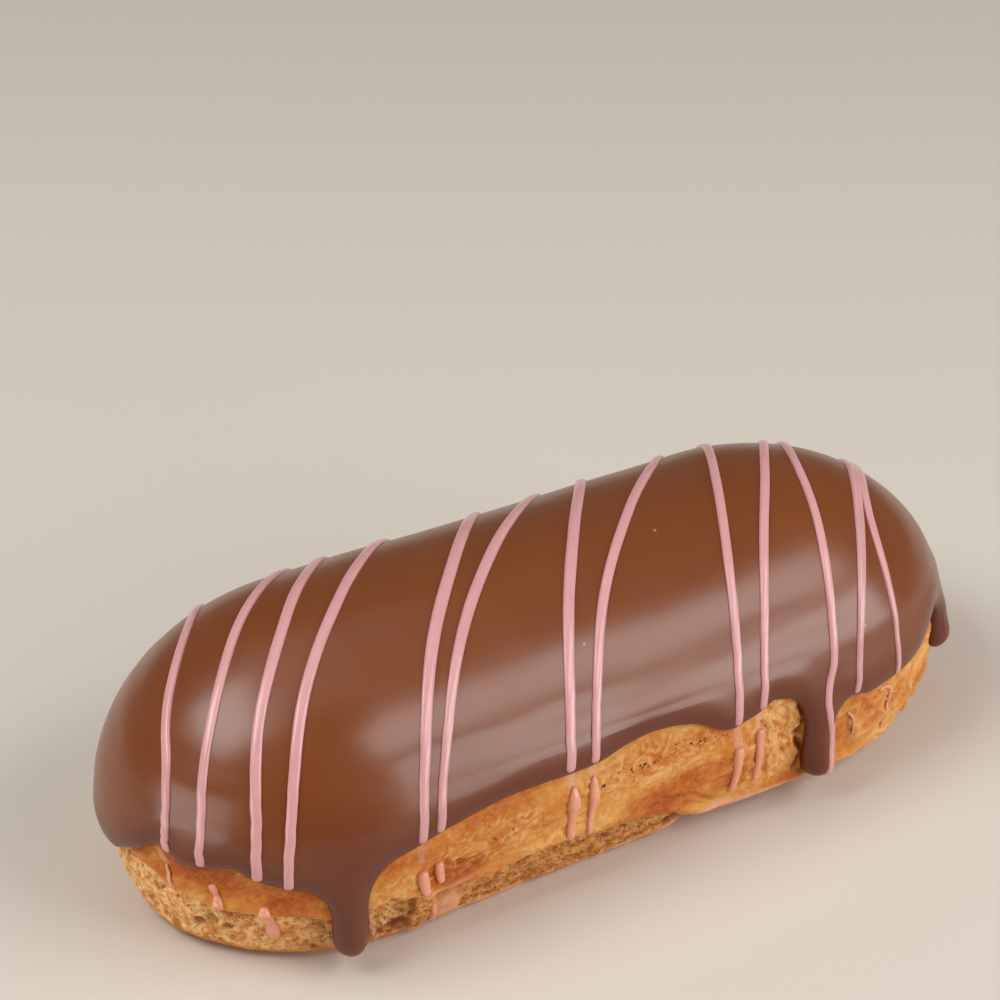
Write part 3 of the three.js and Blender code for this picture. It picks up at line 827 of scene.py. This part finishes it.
def make_choux():
    """The pastry as rows from the middle of the underside, round the foot and up the flank,
    to the crown, which is hidden under the icing."""
    places_round = [WAY_ROUND * (k % CRUST_COLUMNS) / CRUST_COLUMNS for k in range(CRUST_COLUMNS + 1)]
    columns = [(d, crust_values(d)) for d in places_round]
    flank_turn = asin((FLANK_TOP - BELLY) / CHOUX_RISE)
    rows = [("underside", share) for share in UNDERSIDE_SHARES]
    rows += [("foot", radians(angle)) for angle in (90, 60, 30)]
    rows += [("flank", mix(FOOT_ROUND, FLANK_TOP, i / FLANK_ROWS)) for i in range(1, FLANK_ROWS + 1)]
    rows += [("crown", mix(flank_turn, pi / 2, i / CROWN_ROWS)) for i in range(1, CROWN_ROWS + 1)]

    def place(column, row):
        d, local = columns[column]
        rim, lifted = local[1], local[-1]
        part, value = rows[row]
        if part == "underside":
            x, y = in_plan(d, value * (flank(0) - FOOT_ROUND - undercut(lifted, 0)))
            return Vector((x, y, 0)), UNDERSIDE_MARKS
        if part == "crown":
            x, y = in_plan(d, CHOUX_RADIUS * cos(value))
            z = BELLY + CHOUX_RISE * sin(value) - CROWN_SUNK
            return Vector((x, y, z - crown_fall(x, z))), CROWN_MARKS
        if part == "foot":
            height, out = FOOT_ROUND * (1 - sin(value)), flank(0)
        else:
            height, out = value, even_crust(value)
        x, y = in_plan(d, out)
        relief, marks = crust_shape(d, height, Vector((x, y, height)), local)
        if part == "foot":
            relief = relief * cos(value) - FOOT_ROUND * (1 - cos(value))
        else:
            relief = mix(relief, min(relief, 0.1), smooth((height - rim + 1.6) / 1.4))
            relief = mix(relief, -CROWN_SUNK, smooth((height - rim - 1) / 2))
        x, y = in_plan(d, out + relief - undercut(lifted, height))
        return Vector((x, y, height)), marks

    return sheet_mesh("choux_crust", CRUST_COLUMNS, len(rows) - 1, place, MARKS)


# ---------------- piped icing
LINE_STEPS = 190
LINE_SIDES = 16
LINE_TAPER = 0.42  # share of a line's length over which it widens from the near edge
LINE_SWAY = 0.16  # how far a line strays near its ends
LINE_CAP = 0.013  # share of a line's length that its rounded end takes
LINE_CLEAR = 0.5  # how far above the rim a line ends
DAB_STEPS = 26


def bead_mesh(name, runs, steps, sides):
    """One mesh of beads, each laid along a run. A run gives for t from 0 to 1 the bead's
    place on what carries it, the direction out of it, its half width and its height."""
    whole = bmesh.new()
    for run in runs:
        bead = bmesh.new()
        bmesh.ops.create_grid(bead, x_segments=sides, y_segments=steps, size=0.5)
        rings = []
        for i in range(steps + 1):
            t = i / steps
            place, normal, half, high = run(t)
            ahead, behind = run(min(1, t + 0.004))[0], run(max(0, t - 0.004))[0]
            sideways = normal.cross(ahead - behind).normalized()
            rings.append((place, normal, sideways, half, high))
        for v in bead.verts:
            place, normal, sideways, half, high = rings[round((v.co.y + 0.5) * steps)]
            angle = 2 * pi * (round((v.co.x + 0.5) * sides) % sides) / sides
            across, up = cos(angle), sin(angle)
            if up > 0:
                up = up ** 0.75 * (1 - 0.1 * (1 - across * across) ** 3)
            lift = high * (up if up > 0 else 0.4 * up)
            v.co = (place + sideways * (half * across) + normal * lift) * MM
        bmesh.ops.remove_doubles(bead, verts=bead.verts, dist=1e-7)
        bmesh.ops.recalc_face_normals(bead, faces=bead.faces)
        part = bpy.data.meshes.new(name)
        bead.to_mesh(part)
        bead.free()
        whole.from_mesh(part)
        bpy.data.meshes.remove(part)
    return smooth_piece(name, whole)


def place_across(places, across):
    """A line's place along the eclair, from -1 at the near edge to 1 at the far edge."""
    t = clamp01((across + 1) / 2) * (len(places) - 1)
    i = min(int(t), len(places) - 2)
    start, end = places[i], places[i + 1]
    before = places[i - 1] if i > 0 else 2 * start - end
    after = places[i + 2] if i + 2 < len(places) else 2 * end - start
    return hermite((-1, before), (0, start), (1, end), (2, after), t - i)


def across_icing(x, turn):
    """Distance round and turn of the skin at a place along the eclair and a turn across it,
    which is 0 at the near belly, 90 degrees at the crest and 180 at the far belly."""
    share = sqrt(max(0.0, 1 - past_centre(x) ** 2))
    if turn < 0:
        return distance_round(x, -RADIUS * share), turn
    y = -RADIUS * share * cos(turn)
    return distance_round(x, y), asin(min(1.0, share * sin(turn)))


def turn_at_edge(places, side):
    """Turn at which a line ends over the rim: side is -1 for the near one."""
    turn = 0.0
    for _ in range(5):
        x = place_across(places, side * cos(turn))
        share = sqrt(max(0.05, 1 - past_centre(x) ** 2))
        rim = along(RIM, distance_round(x, side * RADIUS * share * cos(turn)))
        turn = asin(clamp01((rim + LINE_CLEAR - BELLY) / (RISE * share)))
    return turn


def piped_run(stroke, down_drip, seed):
    """The run of a line's bead over the icing, or from a drip's tip if it runs down one."""
    width, narrow, places = stroke
    start = turn_at(DRIP_LINE_SWAY[-1][0]) if down_drip else turn_at_edge(places, -1)
    end = pi - turn_at_edge(places, 1)

    def run(t):
        turn = mix(start, end, t)
        x = place_across(places, -cos(max(0.0, turn)))
        if down_drip and turn < pi / 2:
            x += through(DRIP_LINE_SWAY, level_at(turn))
        near_end = min(t, 1 - t)
        x += LINE_SWAY * grain(Vector((30 * t, seed, 0)), 1.0) * (1 - smooth(near_end / 0.35))
        distance, skin_turn = across_icing(x, turn)
        place, normal, _ = coat(distance, skin_turn)
        cap = clamp01(near_end / LINE_CAP)
        size = sqrt(cap * (2 - cap))
        full = mix(narrow, 1.0, smooth(t / LINE_TAPER))
        full *= 1 + 0.06 * grain(Vector((14 * t, seed, 5)), 1.0)
        return place, normal, width / 2 * size * full, LINE_HEIGHT * size * mix(0.6, 1, full)

    return run


def crust_place(distance, height):
    """Place and outward direction on the crust, evened out over its flakes and pores."""
    out = even_crust(height)
    local = crust_values(distance)
    relief = 0.0
    for shift, rise in ((0, 0), (0.7, 0), (-0.7, 0), (0, 0.6), (0, -0.6)):
        x, y = in_plan(distance + shift, out)
        place = Vector((x, y, height + rise))
        relief += crust_shape(distance + shift, height + rise, place, local)[0] / 5
    x, y = in_plan(distance, out + relief + 0.1)
    _, normal = even_skin(distance, 0.0)
    return Vector((x, y, height)), normal


def dab_run(dab):
    """The run of a dab's bead down the crust."""
    length = walked(dab)[-1]

    def run(t):
        u = t * (len(dab) - 1)
        i = min(int(u), len(dab) - 2)
        rows = [dab[max(0, i - 1)], dab[i], dab[i + 1], dab[min(len(dab) - 1, i + 2)]]
        d, z, half = (hermite(*((k, row[axis]) for k, row in enumerate(rows)), u - i)
                      for axis in (0, 1, 2))
        place, normal = crust_place(d, z)
        cap = clamp01(min(t, 1 - t) * length / (0.9 * half))
        size = sqrt(cap * (2 - cap))
        return place, normal, half * size, half * size

    return run


# ---------------- finishes
def colour(hex_code):
    """Linear colour from an sRGB hex code."""
    channels = [int(hex_code[i:i + 2], 16) / 255 for i in (1, 3, 5)]
    return tuple(c / 12.92 if c <= 0.04045 else ((c + 0.055) / 1.055) ** 2.4
                 for c in channels) + (1.0,)


def texture_size(size):
    """Scale of a texture on Object coordinates for grains of this size in mm."""
    return 1 / (size * MM)


def add_node(tree, kind, inputs=None, stops=(), **settings):
    """A node with its settings. An input is linked to a socket or to a node's first output in
    use, or set to a value or a hex code's colour; stops are a ramp's (position, hex code)."""
    node = tree.nodes.new("ShaderNode" + kind)
    for key, value in settings.items():
        setattr(node, key, value)
    for key, value in (inputs or {}).items():
        if isinstance(value, bpy.types.Node):
            value = next(socket for socket in value.outputs if socket.enabled)
        if isinstance(value, bpy.types.NodeSocket):
            tree.links.new(value, node.inputs[key])
        else:
            node.inputs[key].default_value = colour(value) if isinstance(value, str) else value
    if stops:
        elements = node.color_ramp.elements
        elements[0].position, elements[1].position = stops[0][0], stops[-1][0]
        for position, _ in stops[1:-1]:
            elements.new(position)
        for element, (_, hex_code) in zip(elements, stops):
            element.color = colour(hex_code)
    return node


def make_finish(name, look):
    """A material. Its look adds the nodes to Object coordinates and gives the shader's inputs."""
    material = bpy.data.materials.new(name)
    material.use_nodes = True
    material.node_tree.nodes.clear()
    add = partial(add_node, material.node_tree)
    shader = add("BsdfPrincipled", look(add, add("TexCoord").outputs["Object"]))
    add("OutputMaterial", {"Surface": shader})
    return material


def milk_chocolate(add, coords):
    """Milk chocolate icing, poured and set: a satin brown skin with soft glare, painted shade along
    its rim and over its drips, faintly uneven in colour, with a few pale flecks."""
    cloud = add("TexNoise", {
        "Vector": coords, "Scale": texture_size(22), "Detail": 3.0, "Roughness": 0.55})
    # painted shade: the rim and the icing over the drips are darkened towards #5a1b04, standing in for a
    # dark reflection
    painted_rim_shade = add("Attribute", attribute_name="painted_rim_shade").outputs["Fac"]
    painted_dark_rim = add("Math", {0: painted_rim_shade, 1: 0.85}, operation="MULTIPLY")
    flecks = add("TexVoronoi", {"Vector": coords, "Scale": texture_size(13)})
    fleck = add("MapRange", {
        "Value": flecks, "From Min": 0.014, "From Max": 0.024, "To Min": 0.7, "To Max": 0.0})
    tone = "#703613"
    for share, over in ((cloud, "#7f4318"), (painted_dark_rim, "#5a1b04"), (fleck, "#c39a72")):
        tone = add("Mix", {"Factor": share, "A": tone, "B": over}, data_type="RGBA")
    haze = add("MapRange", {
        "Value": cloud, "From Min": 0.3, "From Max": 0.7, "To Min": 0.28, "To Max": 0.38})
    ripple = add("TexNoise", {"Vector": coords, "Scale": texture_size(2.6), "Detail": 3.0})
    skin = add("Bump", {"Height": ripple, "Strength": 0.12, "Distance": 0.2 * MM})
    return {"Base Color": tone, "Roughness": haze, "Normal": skin, "IOR": 1.46,
            "Coat Weight": 0.3, "Coat Roughness": 0.2, "Subsurface Weight": 0.04,
            "Subsurface Radius": (1.0, 0.5, 0.25), "Subsurface Scale": 1.0 * MM}


def fondant(deep, light, add, coords):
    """Icing sugar paste, piped: a soft pastel, slightly translucent, with a satin sheen."""
    cloud = add("TexNoise", {"Vector": coords, "Scale": texture_size(6), "Detail": 3.0})
    tone = add("Mix", {"Factor": cloud, "A": deep, "B": light}, data_type="RGBA")
    sugar = add("TexNoise", {"Vector": coords, "Scale": texture_size(0.5)})
    skin = add("Bump", {"Height": sugar, "Strength": 0.12, "Distance": 0.05 * MM})
    return {"Base Color": tone, "Roughness": 0.23, "IOR": 1.55, "Normal": skin,
            "Subsurface Weight": 0.12, "Subsurface Radius": (1.0, 0.4, 0.3),
            "Subsurface Scale": 0.6 * MM}


def baked_choux(add, coords):
    """Choux pastry, baked: a golden crust browned in patches, with painted shade below the icing's
    rim, scaly with fine pale curls and a painted highlight along its lip, porous crumb where it tore,
    pores, creases and pinholes darkened with painted shade, and pinkish flour round the foot."""
    marks = {mark: add("Attribute", attribute_name=mark).outputs["Fac"] for mark in MARKS}
    mottle, curls, broken, torn_grain = (
        add("TexNoise", {
            "Vector": coords, "Scale": texture_size(size), "Detail": detail, "Roughness": rough,
            "Distortion": bent})
        for size, detail, rough, bent in (
            (1.7, 6.0, 0.75, 0.0), (1.0, 2.0, 0.6, 1.0), (1.4, 2.0, 0.5, 0.0),
            (1.3, 4.0, 0.6, 0.0)))
    pins, fine_pores = (add("TexVoronoi", {"Vector": coords, "Scale": texture_size(size)})
                        for size in (0.72, 0.75))

    # Real browning plus the painted shade below the icing's rim, darkened through the crust ramp.
    browning_and_rim_shade = add("Math", {0: marks["toast_and_rim_shade"], 1: mottle}, operation="ADD")
    browned = add("MapRange", {"Value": browning_and_rim_shade, "From Min": 0.62, "From Max": 1.32})
    crust = add("ValToRGB", {"Fac": browned}, stops=(
        (0.0, "#dfa254"), (0.35, "#d28534"), (0.7, "#c1641a"), (1.0, "#ab4d0d")))
    curl_lines = add("ValToRGB", {"Fac": curls}, stops=(
        (0.44, "#000000"), (0.5, "#ffffff"), (0.56, "#000000")))
    kept = add("MapRange", {
        "Value": broken, "From Min": 0.42, "From Max": 0.6, "To Min": 0.04, "To Max": 0.32})
    hairs = add("Math", {0: curl_lines, 1: kept}, operation="MULTIPLY")
    # pale crests, which include the painted highlight along the lip
    flaked = add("Math", {0: hairs, 1: marks["pale_crest"]}, operation="MAXIMUM")
    flaky = add("Math", {0: flaked, 1: 0.6}, operation="MULTIPLY")
    dark_crumb = add("ValToRGB", {"Fac": torn_grain}, stops=(
        (0.36, "#9a5824"), (0.64, "#dc9650")))
    pale_crumb = add("ValToRGB", {"Fac": torn_grain}, stops=(
        (0.38, "#d98640"), (0.6, "#ffcf8c")))
    crumb = add("Mix", {
        "Factor": marks["pale"], "A": dark_crumb, "B": pale_crumb}, data_type="RGBA")
    # painted shade in the pores and creases, towards #7c4118
    pore_shade_share = add("Math", {0: marks["pore_and_shade"], 1: 0.8}, operation="MULTIPLY")
    # painted shade: dark dots where the pinholes would be
    pinhole = add("MapRange", {
        "Value": pins, "From Min": 0.26, "From Max": 0.38, "To Min": 1.0, "To Max": 0.0})
    pinhole_shade = add("Math", {0: pinhole, 1: marks["pinhole_shade"]}, operation="MULTIPLY")
    tone = crust
    for share, over in ((flaky, "#f0bd7a"), (marks["crumb"], crumb), (marks["flour"], "#e5a785"),
                        (pore_shade_share, "#7c4118"), (pinhole_shade, "#3f1f0c")):
        tone = add("Mix", {"Factor": share, "A": tone, "B": over}, data_type="RGBA")

    dullness = add("MapRange", {"Value": marks["crumb"], "To Min": 0.55, "To Max": 0.85})
    holes = add("MapRange", {"Value": fine_pores, "From Min": 0.1, "From Max": 0.45})
    skin = add("Bump", {"Height": holes, "Strength": marks["crumb"], "Distance": 0.25 * MM})
    for relief, strength, deep in ((flaked, 0.5, 0.2), (mottle, 0.8, 0.4)):
        skin = add("Bump", {
            "Height": relief, "Normal": skin, "Strength": strength, "Distance": deep * MM})
    return {"Base Color": tone, "Roughness": dullness, "Normal": skin, "IOR": 1.36,
            "Subsurface Weight": 0.06, "Subsurface Radius": (1.0, 0.5, 0.2),
            "Subsurface Scale": 1.2 * MM}


def matt_paint(add, coords):
    """Plain pale floor, matt painted."""
    return {"Base Color": "#d5ccc1", "Roughness": 0.9}


# ---------------- the eclair
def stand_for(piece, material, slot, *nodes):
    """Hand a piece over, with its finish, in place of these CAD nodes or on top of them all."""
    piece.data.materials.append(material)
    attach(piece, "root")
    if nodes:
        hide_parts(*nodes)


FONDANT = make_finish("piped_pink_fondant", partial(fondant, "#cc9092", "#dda7a6"))
SOAKED = make_finish("pink_fondant_soaked_by_crust", partial(fondant, "#dc8c6c", "#eca788"))
stand_for(make_choux(), make_finish("baked_choux_crust", baked_choux), "baked_choux", "choux")
stand_for(make_icing(), make_finish("poured_milk_chocolate", milk_chocolate), "chocolate_icing", "icing")
for index, strokes in enumerate(LINES):
    runs = [piped_run(stroke, index == DRIP_LINE, 3.7 * index + 11 * k)
            for k, stroke in enumerate(strokes)]
    node = f"piped_line_{index + 1:02d}"
    line = bead_mesh(f"fondant_{index + 1:02d}", runs, LINE_STEPS, LINE_SIDES)
    stand_for(line, FONDANT, "pink_icing", node)
dabs = bead_mesh("fondant_dabs", [dab_run(dab) for dab in DABS], DAB_STEPS, LINE_SIDES)
stand_for(dabs, SOAKED, "pink_icing")


# ---------------- floor, light and camera
def make_floor():
    sheet = bmesh.new()
    bmesh.ops.create_grid(sheet, x_segments=1, y_segments=1, size=2.0)
    ground = smooth_piece("plain_floor", sheet)
    ground.data.materials.append(make_finish("matt_pale_paint", matt_paint))


def soft_light(name, place, aim, width, tall, power):
    """A soft light from a sheet of this width and height, aimed at a place."""
    lamp = bpy.data.lights.new(name, "AREA")
    lamp.shape = "RECTANGLE"
    lamp.size, lamp.size_y = width * MM, tall * MM
    lamp.energy = power
    holder = bpy.data.objects.new(name, lamp)
    bpy.context.scene.collection.objects.link(holder)
    point_at(holder, place, aim)


def point_at(holder, place, aim):
    """Put a light or a camera at a place, looking at another."""
    holder.location = Vector(place) * MM
    holder.rotation_euler = (Vector(aim) - Vector(place)).to_track_quat("-Z", "Y").to_euler()


make_floor()
soft_light("front_window_upper", (363, -433, 585), (0, 0, 20), 600, 250, 2.2)
soft_light("front_window_lower", (494, -588, 240), (0, 0, 20), 600, 310, 3.2)
soft_light("left_window", (-483, 119, 680), (-40, 0, 25), 540, 380, 3.7)
soft_light("low_window", (-690, -90, 105), (-60, 0, 15), 520, 190, 1.1)
soft_light("overhead", (0, 150, 900), (0, 0, 0), 800, 800, 1.2)

world = bpy.data.worlds.new("soft_room")
world.use_nodes = True
world.node_tree.nodes["Background"].inputs["Color"].default_value = colour("#f4ebdf")
world.node_tree.nodes["Background"].inputs["Strength"].default_value = 0.17
bpy.context.scene.world = world
bpy.context.scene.view_settings.view_transform = "Standard"

lens = bpy.data.cameras.new("camera")
lens.lens = 100
lens.sensor_width = 36
lens.clip_start = 0.01
camera = bpy.data.objects.new("camera", lens)
bpy.context.scene.collection.objects.link(camera)
point_at(camera, (-178.61, -288.96, 260.25), (0.21, 11.5, 41.77))
bpy.context.scene.camera = camera
